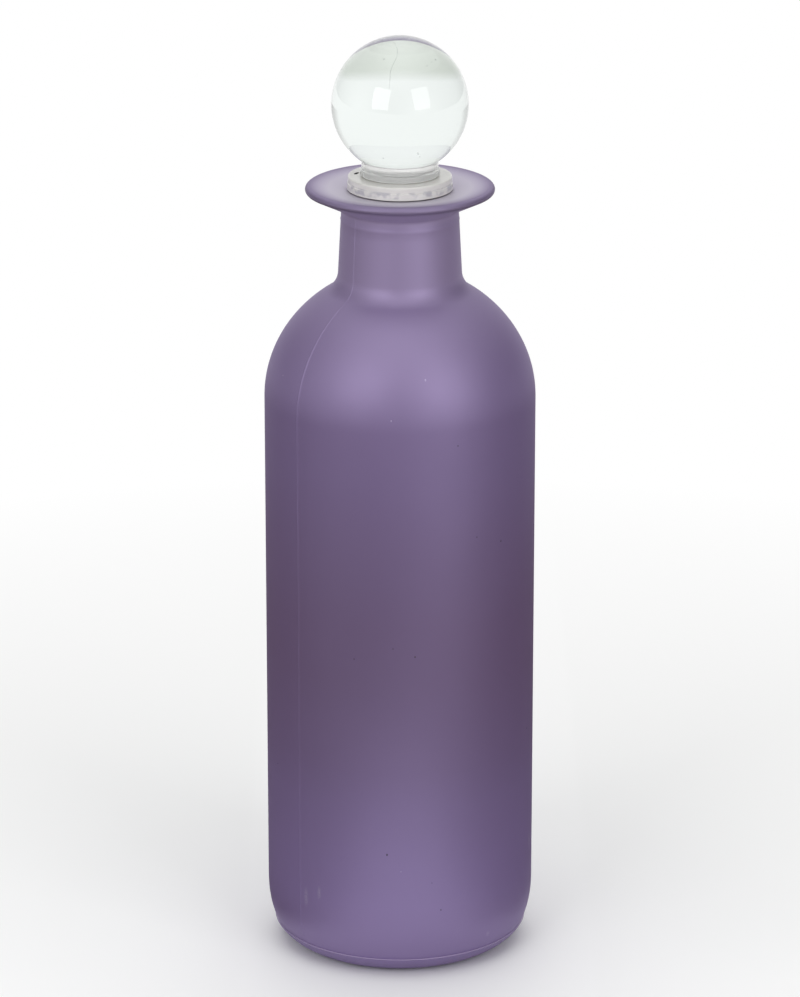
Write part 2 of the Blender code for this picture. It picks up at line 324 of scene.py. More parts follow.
# The ball's glass, the purple glass inside the bottle, the milky waist and the ground shank
clearFinish = {
    "colour": (0.905, 0.950, 0.930, 1), "roughness": 0.0, "transmission": 1.0, "ior": 1.5,
    "waveScale": 45.0, "waveHeight": 0.00002,
}
insideFinish = {
    "colour": (0.56, 0.46, 0.70, 1), "roughness": 0.10, "transmission": 0.30, "ior": 1.5,
    "waveScale": 45.0, "waveHeight": 0.00004,
}
waistFinish = {
    "colour": (0.985, 0.985, 0.975, 1), "roughness": 0.02, "transmission": 0.70, "ior": 1.5,
    "waveScale": 300.0, "waveHeight": 0.00003,
}
groundFinish = {
    "colour": (0.96, 0.965, 0.955, 1), "roughness": 0.40, "transmission": 0.25, "ior": 1.5,
    "waveScale": 1800.0, "waveHeight": 0.000012,
}


def clearGlass(name, finish):
    material, tree, shader = newMaterial(name)
    wave = noiseNode(tree, objectPlace(tree), finish["waveScale"], 1)
    feed(tree, bumpNode(tree, wave, finish["waveHeight"]), shader.inputs["Normal"])
    shader.inputs["Base Color"].default_value = finish["colour"]
    shader.inputs["Roughness"].default_value = finish["roughness"]
    shader.inputs["Transmission Weight"].default_value = finish["transmission"]
    shader.inputs["IOR"].default_value = finish["ior"]
    return material


milkyFinishAndPaintedReflection = {
    "colour": (0.995, 0.980, 0.945, 1),
    "thinColour": (0.90, 0.88, 0.85, 1),
    "roughness": (0.03, 0.16),
    "transmission": 0.24,
    "ior": 1.5,
    "hazeScale": 150.0,
    "hazeStretch": (1, 1, 3.2),
    "hazeRange": (0.32, 0.68),
    # the band below is a painted reflection of the lip on the flange's side
    "lipReflectionColour": (0.63, 0.62, 0.665, 1),
    "bandDrop": 0.0023,
    "bandHalf": 0.0011,
    "bandCore": 0.4,
    "bandScale": 420.0,
    "bandBreaks": (0.1, 1, 0.42, 0.58),
}


def milkyPlastic(finish):
    material, tree, shader = newMaterial("milkyPlastic")
    place = objectPlace(tree)
    haze = noiseNode(tree, vectorNode(tree, "MULTIPLY", place, finish["hazeStretch"]), finish["hazeScale"], 2)
    feed(tree, rangeNode(tree, haze, *finish["roughness"]), shader.inputs["Roughness"])
    cream = rangeNode(tree, haze, 0, 1, *finish["hazeRange"])
    tone = colourMix(tree, cream, finish["thinColour"], finish["colour"])
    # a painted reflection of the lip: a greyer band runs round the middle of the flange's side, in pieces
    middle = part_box("seal_sleeve")[1].z - finish["bandDrop"]
    apart = mathNode(tree, "SUBTRACT", axisPart(tree, place, "Z"), middle)
    apart = mathNode(tree, "ABSOLUTE", apart)
    near = rangeNode(tree, apart, 1, 0, finish["bandHalf"] * finish["bandCore"], finish["bandHalf"])
    broken = rangeNode(tree, noiseNode(tree, place, finish["bandScale"], 1), *finish["bandBreaks"])
    lipReflection = mathNode(tree, "MULTIPLY", near, broken)
    feed(tree, colourMix(tree, lipReflection, tone, finish["lipReflectionColour"]), shader.inputs["Base Color"])
    shader.inputs["Transmission Weight"].default_value = finish["transmission"]
    shader.inputs["IOR"].default_value = finish["ior"]
    return material


def plainMaterial(name, colour, roughness):
    material, tree, shader = newMaterial(name)
    shader.inputs["Base Color"].default_value = colour
    shader.inputs["Roughness"].default_value = roughness
    return material


# The blown bottle

bottleShape = {
    "steps": 160,
    "bodyRadius": 0.03746,
    "bodyLength": 0.1601,
    "shoulderRise": 0.0365,
    "shoulderPastAxis": 0.002775,
    "shoulderFillet": 0.0069,
    "neckTopRadius": 0.01605,
    "neckTopHeight": 0.2136,
    "neckTaper": 3.0,
    "ringDrop": 0.0030,
    "ringRise": 0.00010,
    "ringHalf": 0.0004,
    "lipRadius": 0.0259,
    "undersideRise": 0.0045,
    "undersideFillet": 0.0012,
    "rimLowerHeight": 0.0008,
    "rimLowerWidth": 0.0006,
    "rimUpperHeight": 0.00105,
    "rimUpperWidth": 0.0014,
    "lipDish": 0.00135,
    "boreRadius": 0.0125,
    "mouthRound": 0.0008,
    "wall": 0.003,
    "floorThickness": 0.0065,
    "floorCorner": 0.013,
    "heelHeight": 0.0188,
    "heelPower": 2.5,
    "seamHeight": 0.0059,
    "seamStep": 0.00045,
    "baseInset": 0.012,
    "baseRoundWidth": 0.01205,
    "baseRoundRise": 0.01255,
    "contactWidth": 0.003,
    "pushUp": 0.0035,
    "pushUpPower": 3,
    "mouldSeamAngle": -138.5,
    "mouldSeamRise": 0.00010,
    "mouldSeamHalf": 0.00022,
    "mouthEndAngle": 96,
    "rimStartAngle": 94,
    "rimEndAngle": -78,
    "seamUndercut": 0.0001,
    "seamUndercutShare": 0.3,
    "seamBaseShare": 0.6,
    "heelDrawIn": 0.0019,
    # how many steps each run of the outline has
    "points": {
        "floor": 5, "corner": 14, "wall": 14, "innerShoulder": 22, "innerFillet": 10, "mouth": 6,
        "rimUpper": 12, "rimLower": 7, "underside": 6, "shoulder": 40, "fillet": 14, "neck": 6,
        "body": 20, "heel": 16, "base": 18, "pushUp": 14,
    },
}


def shoulderToNeck(shape, inset, lineRadius, taper, fillet, shoulderCount, filletCount):
    # up the shoulder's ellipse, then through a hollow round that is tangent to the neck's side
    pastAxis = shape["shoulderPastAxis"]
    width = shape["bodyRadius"] + pastAxis - inset
    height = shape["shoulderRise"] - inset
    foot = shape["bodyLength"]
    side = Vector((math.cos(taper), math.sin(taper)))
    neckPoint = Vector((lineRadius, shape["neckTopHeight"]))
    # the angle at which the round leaves the ellipse, found by halving
    low, high = 0.0, 90.0
    for _ in range(50):
        angle = (low + high) / 2
        turn = math.radians(angle)
        normal = Vector((math.cos(turn) / width, math.sin(turn) / height)).normalized()
        onEllipse = Vector((width * math.cos(turn) - pastAxis, foot + height * math.sin(turn)))
        centre = onEllipse + normal * fillet
        if (centre - neckPoint).dot(side) > fillet:
            low = angle
        else:
            high = angle
    shoulder = arcPoints((-pastAxis, foot), width, height, 0, angle, shoulderCount)
    start = math.degrees(math.atan2(-normal.y, -normal.x))
    end = math.degrees(math.atan2(-side.y, -side.x))
    return shoulder + arcPoints(centre, fillet, fillet, start, start + shorterTurn(start, end), filletCount)[1:]


def bottleOutline(shape):
    # up the inside, over the lip, down the outside and under the base
    points = shape["points"]
    bodyRadius = shape["bodyRadius"]
    rimLow = shape["neckTopHeight"] + shape["undersideRise"]
    rimMid = rimLow + shape["rimLowerHeight"]
    rimTop = rimMid + shape["rimUpperHeight"]
    rimInner = shape["lipRadius"] - shape["rimUpperWidth"]
    mouthRadius = shape["boreRadius"] + shape["mouthRound"]
    mouthHeight = rimTop - shape["lipDish"]
    floorHeight = shape["pushUp"] + shape["floorThickness"]
    corner = (bodyRadius - shape["wall"] - shape["floorCorner"], floorHeight + shape["floorCorner"])
    inside = [(0, floorHeight)] + straightRun((0, floorHeight), (corner[0], floorHeight), points["floor"])
    inside += arcPoints(corner, shape["floorCorner"], shape["floorCorner"], -90, 0, points["corner"])
    wallFoot = inside[-1]
    inside += straightRun(wallFoot, (wallFoot[0], shape["bodyLength"]), points["wall"])
    inside += shoulderToNeck(
        shape, shape["wall"], shape["boreRadius"], 0, shape["shoulderFillet"] + shape["wall"],
        points["innerShoulder"], points["innerFillet"])
    lip = arcPoints((mouthRadius, mouthHeight - shape["mouthRound"]), shape["mouthRound"], shape["mouthRound"],
                    180, shape["mouthEndAngle"], points["mouth"])
    lip += arcPoints((rimInner, rimMid), shape["rimUpperWidth"], shape["rimUpperHeight"],
                     shape["rimStartAngle"], 0, points["rimUpper"])
    lip += arcPoints((shape["lipRadius"] - shape["rimLowerWidth"], rimMid), shape["rimLowerWidth"],
                     shape["rimLowerHeight"], 0, shape["rimEndAngle"], points["rimLower"])[1:]
    taper = math.radians(shape["neckTaper"])

    def neckSide(height):
        return shape["neckTopRadius"] + (shape["neckTopHeight"] - height) * math.tan(taper)

    ring = shape["neckTopHeight"] - shape["ringDrop"]
    ringTop = (neckSide(ring + shape["ringHalf"]), ring + shape["ringHalf"])
    neckTop = (shape["neckTopRadius"], shape["neckTopHeight"])
    outside = cornerArc(lip[-1], neckTop, ringTop, shape["undersideFillet"], points["underside"])
    outside += [ringTop, (neckSide(ring) + shape["ringRise"], ring)]
    outside.append((neckSide(ring - shape["ringHalf"]), ring - shape["ringHalf"]))
    upward = shoulderToNeck(
        shape, 0, shape["neckTopRadius"], taper, shape["shoulderFillet"], points["shoulder"], points["fillet"])
    outside += straightRun(outside[-1], upward[-1], points["neck"]) + list(reversed(upward))
    heelTop = (bodyRadius, shape["heelHeight"])
    outside += straightRun(outside[-1], heelTop, points["body"])
    contact = bodyRadius - shape["baseInset"]
    baseRise = shape["baseRoundRise"]
    seamAngle = math.degrees(math.asin((shape["seamHeight"] - baseRise) / baseRise))
    base = arcPoints((contact, baseRise), shape["baseRoundWidth"], baseRise, seamAngle, -90, points["base"])
    seamRadius = base[0][0] - shape["seamStep"]
    heelRise = shape["heelHeight"] - shape["seamHeight"]
    for i in range(points["heel"] + 1):
        share = i / points["heel"]
        drop = (bodyRadius - seamRadius) * share ** shape["heelPower"]
        outside.append((bodyRadius - drop, shape["heelHeight"] - heelRise * share))
    # the step of the mould's base seam
    undercut = shape["seamHeight"] - shape["seamStep"] * shape["seamUndercutShare"]
    baseTop = shape["seamHeight"] - shape["seamStep"] * shape["seamBaseShare"]
    outside.append((base[0][0] - shape["seamUndercut"], undercut))
    outside += [point for point in base if point[1] < baseTop]
    inner = contact - shape["contactWidth"]
    for i in range(points["pushUp"] + 1):
        share = 1 - i / points["pushUp"]
        outside.append((inner * share, shape["pushUp"] * (1 - share ** shape["pushUpPower"])))
    return inside + lip + outside


def makeBottle(shape, material, insideMaterial):
    bm = turnOutline("bottle", bottleOutline(shape), shape["steps"])
    # the two halves of the mould leave one fine ridge down each side
    angle = math.radians(shape["mouldSeamAngle"])
    along = Vector((math.cos(angle), math.sin(angle), 0))
    across = Vector((-along.y, along.x, 0))
    for offset in (-shape["mouldSeamHalf"], 0, shape["mouldSeamHalf"]):
        geometry = bm.verts[:] + bm.edges[:] + bm.faces[:]
        bmesh.ops.bisect_plane(
            bm, geom=geometry, dist=meshPlan["cutDistance"], plane_co=across * offset, plane_no=across)
    outerWall = shape["boreRadius"] + shape["wall"] * 2 / 3
    for vert in bm.verts:
        onRidge = abs(vert.co.dot(across)) <= shape["mouldSeamHalf"] * 0.5
        if not onRidge or not shape["seamHeight"] < vert.co.z < shape["neckTopHeight"]:
            continue
        outward = vert.normal.dot(along * math.copysign(1, vert.co.dot(along))) > 0.1
        if outward and vert.co.to_2d().length > outerWall:
            vert.co += vert.normal * shape["mouldSeamRise"]
    # only the outside is frosted
    mouth = shape["neckTopHeight"] + shape["undersideRise"] - shape["mouthRound"]
    for face in bm.faces:
        centre = face.calc_center_median()
        onWall = face.normal.dot(Vector((centre.x, centre.y, 0)).normalized()) < -0.05
        onFloor = face.normal.z > 0.5 and centre.z < shape["heelHeight"]
        if (onWall or onFloor) and shape["pushUp"] * 1.5 < centre.z < mouth:
            face.material_index = 1
    return finishPiece(bm, "bottleGlass", material, insideMaterial)


# Small marks in the frosting: specks and seeds, as (degrees to the right of the front, height)
markPlan = {
    "darkSpecks": (
        (13.7, 0.0295), (17.7, 0.0211), (-5.5, 0.0383), (-2.9, 0.0990), (6.3, 0.0966), (-19.6, 0.0953),
        (34.0, 0.1291), (47.5, 0.1260), (24.7, 0.1561), (71.0, 0.0662), (96.0, 0.1374), (118.0, 0.0432),
        (139.0, 0.1065), (158.0, 0.0257), (176.0, 0.1488), (-166.0, 0.0781), (-148.0, 0.1213),
        (-127.0, 0.0345), (-104.0, 0.0904), (-83.0, 0.1437), (-66.0, 0.0568),
    ),
    "paleSpecks": (
        (0.4, 0.0333), (-3.7, 0.1641), (11.5, 0.1745), (-63.0, 0.1706), (152.0, 0.0671), (-131.0, 0.1588),
    ),
    "darkColour": (0.060, 0.045, 0.085, 1),
    "paleColour": (0.40, 0.34, 0.52, 1),
    "roughness": 0.5,
    "radius": 0.00019,
    "proud": 0.00002,
    "widths": (0.75, 0.875, 1.0, 1.125, 1.25),
    "stretches": (1.0, 1.3, 1.6),
    "slopeReach": 0.0005,
}


def outerRadius(shape, height):
    # the bottle's own radius from the heel to the crown of the shoulder
    if height < shape["heelHeight"]:
        share = (shape["heelHeight"] - height) / (shape["heelHeight"] - shape["seamHeight"])
        return shape["bodyRadius"] - shape["heelDrawIn"] * share ** shape["heelPower"]
    if height < shape["bodyLength"]:
        return shape["bodyRadius"]
    rise = (height - shape["bodyLength"]) / shape["shoulderRise"]
    across = shape["bodyRadius"] + shape["shoulderPastAxis"]
    return across * math.sqrt(1 - rise * rise) - shape["shoulderPastAxis"]


def makeSpecks(name, spots, plan, shape, material):
    # flat lenses that lie in the surface
    bm = bmesh.new()
    reach = plan["slopeReach"]
    for i, (angle, height) in enumerate(spots):
        turn = math.radians(angle)
        radius = outerRadius(shape, height)
        slope = (outerRadius(shape, height + reach) - outerRadius(shape, height - reach)) / (reach * 2)
        outward = Vector((math.sin(turn), -math.cos(turn), -slope)).normalized()
        place = Vector((math.sin(turn) * radius, -math.cos(turn) * radius, height)) - outward * plan["proud"]
        width = plan["radius"] * plan["widths"][(i * 7) % 5]
        size = Matrix.Diagonal((width, width * plan["stretches"][i % 3], plan["proud"] * 3, 1))
        matrix = Matrix.Translation(place) @ outward.to_track_quat("Z", "Y").to_matrix().to_4x4() @ size
        bmesh.ops.create_uvsphere(bm, u_segments=10, v_segments=6, radius=1, matrix=matrix)
    return finishPiece(bm, name, material)


# The sealing sleeve

sleeveShape = {
    "steps": 128,
    "flangeRadius": 0.0145,
    "flangeDraft": 0.0003,
    "flangeEdge": 0.0004,
    "flangeThickness": 0.00364,
    "flangeStep": 0.00020,
    "flangeStepDrop": 0.0019,
    "flangeStepRise": 0.00012,
    "ribTip": 0.0122,
    "ribDepth": 0.0011,
    "ribRoot": 0.0018,
    "ribFlat": 0.0007,
    "ribCount": 3,
    "skirtLength": 0.0195,
    "leadIn": 0.0015,
    "holeRadius": 0.0089,
    "holeTaper": 1.0,
    "beadDrop": 0.0125,
    "beadHeight": 0.0007,
    "beadFlat": 0.0013,
    "seatGap": 0.0003,
    "points": {"top": 4, "topEdge": 6, "lowEdge": 4},
}


def sleeveOutline(shape):
    # up the hole, out across the flange and down the ribbed skirt
    low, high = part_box("seal_sleeve")
    top = high.z
    flangeLow = top - shape["flangeThickness"]
    end = low.z
    slope = math.tan(math.radians(shape["holeTaper"]))

    def hole(height):
        return shape["holeRadius"] - (top + shape["seatGap"] - height) * slope

    bead = flangeLow - shape["beadDrop"]
    beadTip = hole(bead) - shape["beadHeight"]
    beadHalf = shape["beadFlat"] / 2
    reach = beadHalf + shape["beadHeight"]
    outline = [(hole(end), end), (hole(bead - reach), bead - reach)]
    outline += [(beadTip, bead - beadHalf), (beadTip, bead + beadHalf)]
    outline += [(hole(bead + reach), bead + reach), (hole(top), top)]
    topCorner = (shape["flangeRadius"] - shape["flangeDraft"], top)
    lowCorner = (shape["flangeRadius"], flangeLow)
    outline += straightRun(outline[-1], topCorner, shape["points"]["top"])
    outline += cornerArc(outline[-1], topCorner, lowCorner, shape["flangeEdge"], shape["points"]["topEdge"])
    step = Vector(topCorner).lerp(Vector(lowCorner), shape["flangeStepDrop"] / shape["flangeThickness"])
    outline += [(step.x - shape["flangeStep"], step.y + shape["flangeStepRise"]), (step.x, step.y)]
    root = shape["ribTip"] - shape["ribDepth"]
    outline += cornerArc(
        topCorner, lowCorner, (root, flangeLow), shape["flangeEdge"] / 2, shape["points"]["lowEdge"])
    outline.append((root, flangeLow))
    pitch = (shape["skirtLength"] - shape["leadIn"]) / (shape["ribCount"] + 1)
    for i in range(shape["ribCount"]):
        z = flangeLow - pitch * (i + 1)
        outline.append((root, z + shape["ribRoot"] / 2))
        outline.append((shape["ribTip"], z + shape["ribFlat"] / 2))
        outline.append((shape["ribTip"], z - shape["ribFlat"] / 2))
        outline.append((root, z - shape["ribRoot"] / 2))
    outline += [(root, end + shape["leadIn"]), (root - shape["leadIn"] / 2, end)]
    return outline


def makeSleeve(shape, material):
    bm = turnOutline("sleeve", sleeveOutline(shape), shape["steps"], closed=True)
    return finishPiece(bm, "sealingSleeve", material)


gatePlan = {
    "place": (-0.01190, 0.00180),
    "size": (0.00054, 0.00130),
    "sunk": 0.000021,
    "thick": 0.000084,
    "turn": -24.0,
    "colour": (0.012, 0.012, 0.010, 1),
    "roughness": 0.9,
}


def makeGateMark(plan, material):
    # the dark oval left by the moulding, flush in the flange's top
    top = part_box("seal_sleeve")[1].z
    bm = bmesh.new()
    turn = Matrix.Rotation(math.radians(plan["turn"]), 4, "Z")
    size = Matrix.Diagonal((*plan["size"], plan["thick"], 1))
    matrix = Matrix.Translation((*plan["place"], top - plan["sunk"])) @ turn @ size
    bmesh.ops.create_uvsphere(bm, u_segments=16, v_segments=10, radius=1, matrix=matrix)
    return finishPiece(bm, "gateMark", material)


# The ball stopper

stopperShape = {
    "steps": 144,
    "ballRadius": 0.01868,
    "waistRadius": 0.0105,
    "waistLength": 0.0040,
    "footRadius": 0.0109,
    "footShare": 0.47,
    "waistGroove": 0.0004,
    "waistEdge": 0.0003,
    "ballJoinPast": 1.5,
    "shankRadius": 0.0086,
    "shankTaper": 1.0,
    "endRound": 0.0015,
    "beadDepth": 0.0007,
    "beadFlat": 0.0016,
    "groundBelow": 0.00005,
    "points": {"ball": 60, "join": 3, "footEdge": 4, "end": 8},
}


def stopperOutline(shape):
    # from the top of the ball down the waist and the shank
    low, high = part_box("ball_stopper")
    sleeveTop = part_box("seal_sleeve")[1].z
    foot = sleeveTop + sleeveShape["seatGap"]
    neck = foot + shape["waistLength"]
    footTop = foot + shape["waistLength"] * shape["footShare"]
    ballCentre = high.z - shape["ballRadius"]
    joinAngle = -math.degrees(math.acos(shape["waistRadius"] / shape["ballRadius"]))
    points = shape["points"]
    outline = arcPoints((0, ballCentre), shape["ballRadius"], shape["ballRadius"],
                        90, joinAngle + shape["ballJoinPast"], points["ball"])
    outline[0] = (0, high.z)
    waistTop, waistLow = (shape["waistRadius"], neck), (shape["waistRadius"], footTop)
    outline += cornerArc(outline[-1], waistTop, waistLow, shape["waistEdge"], points["join"])
    groove = shape["waistGroove"]
    outline += [(shape["waistRadius"], footTop + groove / 2), (shape["waistRadius"] - groove, footTop)]
    footCorner = (shape["footRadius"], footTop - groove / 2)
    lowCorner = (shape["footRadius"], foot)
    outline += cornerArc(outline[-1], footCorner, lowCorner, shape["waistEdge"], points["footEdge"])
    slope = math.tan(math.radians(shape["shankTaper"]))

    def shank(height):
        return shape["shankRadius"] - (foot - height) * slope

    outline += cornerArc(footCorner, lowCorner, (shank(foot), foot), shape["waistEdge"], points["footEdge"])
    outline.append((shank(foot), foot))
    bead = sleeveTop - sleeveShape["flangeThickness"] - sleeveShape["beadDrop"]
    floor = shank(bead) - shape["beadDepth"]
    half = shape["beadFlat"] / 2
    reach = half + shape["beadDepth"]
    outline += [(shank(bead + reach), bead + reach), (floor, bead + half)]
    outline += [(floor, bead - half), (shank(bead - reach), bead - reach)]
    outline += cornerArc(outline[-1], (shank(low.z), low.z), (0, low.z), shape["endRound"], points["end"])
    outline.append((0, low.z))
    return outline


# Seeds and a cord in the pressed glass, as shares of the ball's radius to the right, up and towards the viewer

flawPlan = {
    "lookDown": 13.6,
    "bubbles": (
        (-0.218, 0.610, 0.60, 0.00016), (0.479, 0.600, 0.45, 0.00017), (0.420, 0.560, 0.48, 0.00010),
        (0.352, 0.498, 0.52, 0.00012), (-0.232, -0.745, 0.50, 0.00015), (0.276, -0.730, 0.52, 0.00015),
        (-0.300, 0.810, 0.35, 0.00010), (0.560, -0.240, -0.40, 0.00014), (-0.420, 0.150, -0.62, 0.00016),
        (0.120, -0.330, -0.55, 0.00012),
    ),
    "cord": (
        (-0.145, 0.895), (-0.075, 0.855), (-0.035, 0.760), (-0.042, 0.668),
        (-0.095, 0.560), (-0.135, 0.470), (-0.140, 0.360), (-0.155, 0.180),
    ),
    "cordDepth": 0.955,
    "cordRadius": 0.00004,
}


def addFlaws(bm, plan, shape):
    centre = Vector((0, 0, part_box("ball_stopper")[1].z - shape["ballRadius"]))
    look = math.radians(plan["lookDown"])
    right, up = Vector((1, 0, 0)), Vector((0, math.sin(look), math.cos(look)))
    near = Vector((0, -math.cos(look), math.sin(look)))
    made = []
    for across, above, nearer, radius in plan["bubbles"]:
        place = centre + (right * across + up * above + near * nearer) * shape["ballRadius"]
        bubble = bmesh.ops.create_uvsphere(
            bm, u_segments=16, v_segments=10, radius=radius, matrix=Matrix.Translation(place))
        made += bubble["verts"]
    path = []
    for across, above in plan["cord"]:
        nearer = math.sqrt(max(0.0, plan["cordDepth"] ** 2 - across ** 2 - above ** 2))
        path.append(centre + (right * across + up * above + near * nearer) * shape["ballRadius"])
    rings = []
    for i, point in enumerate(path):
        along = (path[min(i + 1, len(path) - 1)] - path[max(i - 1, 0)]).normalized()
        width = plan["cordRadius"] * (0.3 if i in (0, len(path) - 1) else 1)
        matrix = Matrix.Translation(point) @ along.to_track_quat("Z", "Y").to_matrix().to_4x4()
        atEnd = i in (0, len(path) - 1)
        ring = bmesh.ops.create_circle(bm, cap_ends=atEnd, segments=8, radius=width, matrix=matrix)
        rings.append(ring["verts"])
        made += ring["verts"]
    for a, b in zip(rings, rings[1:]):
        between = {edge for vert in a + b for edge in vert.link_edges}
        ends = [edge for edge in between if edge.verts[0] in a and edge.verts[1] in a]
        ends += [edge for edge in between if edge.verts[0] in b and edge.verts[1] in b]
        bmesh.ops.bridge_loops(bm, edges=ends)
    faces = list({face for vert in made for face in vert.link_faces})
    bmesh.ops.recalc_face_normals(bm, faces=faces)
    # a hollow in the glass faces inwards
    bmesh.ops.reverse_faces(bm, faces=faces)


def makeStopper(shape, material, waistMaterial, groundMaterial):
    bm = turnOutline("stopper", stopperOutline(shape), shape["steps"])
    # the waist is a little milky where the mould pinched it, and the shank under it is ground
    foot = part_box("seal_sleeve")[1].z + sleeveShape["seatGap"]
    for face in bm.faces:
        height = face.calc_center_median().z - foot
        if height < shape["groundBelow"]:
            face.material_index = 2
        elif height < shape["waistLength"] + shape["waistEdge"] * 2 / 3:
            face.material_index = 1
    addFlaws(bm, flawPlan, shape)
    return finishPiece(bm, "ballStopper", material, waistMaterial, groundMaterial)


# The pieces, each on its body

insideGlass = clearGlass("clearInsideGlass", insideFinish)
bottleGlass = makeBottle(bottleShape, frostedGlass(frostedFinishAndPaintedLight), insideGlass)
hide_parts("bottle")
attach(bottleGlass, "bottle")

for kind in ("dark", "pale"):
    speckMaterial = plainMaterial(kind + "Speck", markPlan[kind + "Colour"], markPlan["roughness"])
    specks = makeSpecks(kind + "Specks", markPlan[kind + "Specks"], markPlan, bottleShape, speckMaterial)
    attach(specks, "bottle")

sealingSleeve = makeSleeve(sleeveShape, milkyPlastic(milkyFinishAndPaintedReflection))
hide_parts("seal_sleeve")
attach(sealingSleeve, "sleeve")

gateMark = makeGateMark(gatePlan, plainMaterial("gateDark", gatePlan["colour"], gatePlan["roughness"]))
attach(gateMark, "sleeve")

ballStopper = makeStopper(
    stopperShape, clearGlass("clearStopperGlass", clearFinish), clearGlass("milkyWaistGlass", waistFinish),
    clearGlass("groundShankGlass", groundFinish))
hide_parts("ball_stopper")
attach(ballStopper, "stopper")
print("pieces made")


# Studio: a pale floor and a white backdrop, two soft boxes, soft light from the room, and dark flags

studioPlan = {
    "floorSize": 8.0,
    "floorColour": (0.93, 0.935, 0.93, 1),
    "floorRoughness": 0.7,
    "floorGloss": 0.1,
    "throughGlass": (0.82, 0.845, 0.795, 1),
    "fade": (0.10, 0.42),
    "glassFade": (0.37, 0.50),
    "darkPatch": (-1.2, 0.14, -0.54, -0.176),
    "flagColour": (0.105, 0.078, 0.052, 1),
    "flagRoughness": 0.9,
    "bounces": 24,
    "glossyBounces": 16,
}

boxPlan = {
    "aim": (0, 0, 0.16),
    "distance": 1.0,
    "size": (0.50, 0.60),
    "elevation": 24,
    "boxes": {"leftBox": {"azimuth": -34, "glow": 2.7}, "rightBox": {"azimuth": 38, "glow": 2.15}},
}

# soft patches of light on the room's walls and ceiling, as (azimuth, elevation, strength)
roomPlan = {
    "patches": (
        (0, 90, 1.17), (0, 55, 0.60), (180, 55, 1.20), (300, 55, 0.18), (60, 55, 0.15),
        (180, 25, 0.60), (288, 0, 1.02), (36, 0, 1.27),
    ),
    "tightness": 7.4,
    "backdropColour": (1.0, 1.0, 1.0, 1),
    "backdropRange": (0.72, 0.95),
    "sideShade": 0.20,
    "sideRange": (0.20, 0.60),
    "mostSeen": 11.0,
    "mostThroughGlass": 1.0,
}

# each flag is a flat card with one corner, and two sides that run from it, which only soft gloss sees
flagPlan = {
    "right": ((0.055, -0.30, 0.0005), (1.13, 0, 0), (0, 0.80, 0)),
    "left": ((-1.2, -0.14, 0.0005), (1.155, 0, 0), (0, 0.64, 0)),
}

# two small round cards keep the boxes off the middle of the body, as (place, half width, half height)
shadePlan = {
    "leftShade": ((-0.073, -0.130, 0.150), 0.036, 0.042),
    "rightShade": ((0.064, -0.130, 0.150), 0.036, 0.042),
}


def towards(azimuth, elevation):
    # the direction of a light, with the azimuth counted from the viewer's side to the right
    turn, rise = math.radians(azimuth), math.radians(elevation)
    return Vector((math.sin(turn) * math.cos(rise), -math.cos(turn) * math.cos(rise), math.sin(rise)))


def hideFrom(thing, *rays):
    for ray in rays:
        setattr(thing, "visible_" + ray, False)


def addBoxes(plan):
    for name, box in plan["boxes"].items():
        data = bpy.data.lights.new(name, "AREA")
        data.shape = "RECTANGLE"
        data.size, data.size_y = plan["size"]
        data.energy = box["glow"] * math.pi * data.size * data.size_y
        holder = bpy.data.objects.new(name, data)
        away = towards(box["azimuth"], plan["elevation"])
        holder.location = Vector(plan["aim"]) + away * plan["distance"]
        holder.rotation_euler = away.to_track_quat("Z", "Y").to_euler()
        hideFrom(holder, "camera", "transmission")
        bpy.context.scene.collection.objects.link(holder)


def setRoom(plan):
    world = bpy.data.worlds.new("room")
    world.use_nodes = True
    bpy.context.scene.world = world
    tree = world.node_tree
    direction = tree.nodes.new("ShaderNodeTexCoord").outputs["Generated"]
    total = 0.0
    for azimuth, elevation, strength in plan["patches"]:
        facing = vectorNode(tree, "DOT_PRODUCT", direction, towards(azimuth, elevation))
        falloff = mathNode(tree, "MULTIPLY_ADD", facing, plan["tightness"], -plan["tightness"])
        total = mathNode(tree, "MULTIPLY_ADD", mathNode(tree, "EXPONENT", falloff), strength, total)
    # the backdrop is white in every direct view of it, through glass and in gloss too
    path = tree.nodes.new("ShaderNodeLightPath").outputs
    behind = axisPart(tree, direction, "Y")
    backdrop = rangeNode(tree, behind, 0, 1, *plan["backdropRange"])
    inGloss = mathNode(tree, "MULTIPLY", path["Is Glossy Ray"], backdrop)
    around = rangeNode(tree, behind, plan["sideShade"], 1, *plan["sideRange"])
    inGlass = mathNode(tree, "MULTIPLY", path["Is Transmission Ray"], around)
    direct = mathNode(tree, "MAXIMUM", path["Is Camera Ray"], inGlass)
    white = mathNode(tree, "MAXIMUM", direct, inGloss)
    # glass shows no part of the room brighter than the backdrop
    drop = plan["mostThroughGlass"] - plan["mostSeen"]
    most = mathNode(tree, "MULTIPLY_ADD", path["Is Transmission Ray"], drop, plan["mostSeen"])
    room = mathNode(tree, "MINIMUM", total, most)
    feed(tree, colourMix(tree, white, room, plan["backdropColour"]), tree.nodes["Background"].inputs["Color"])


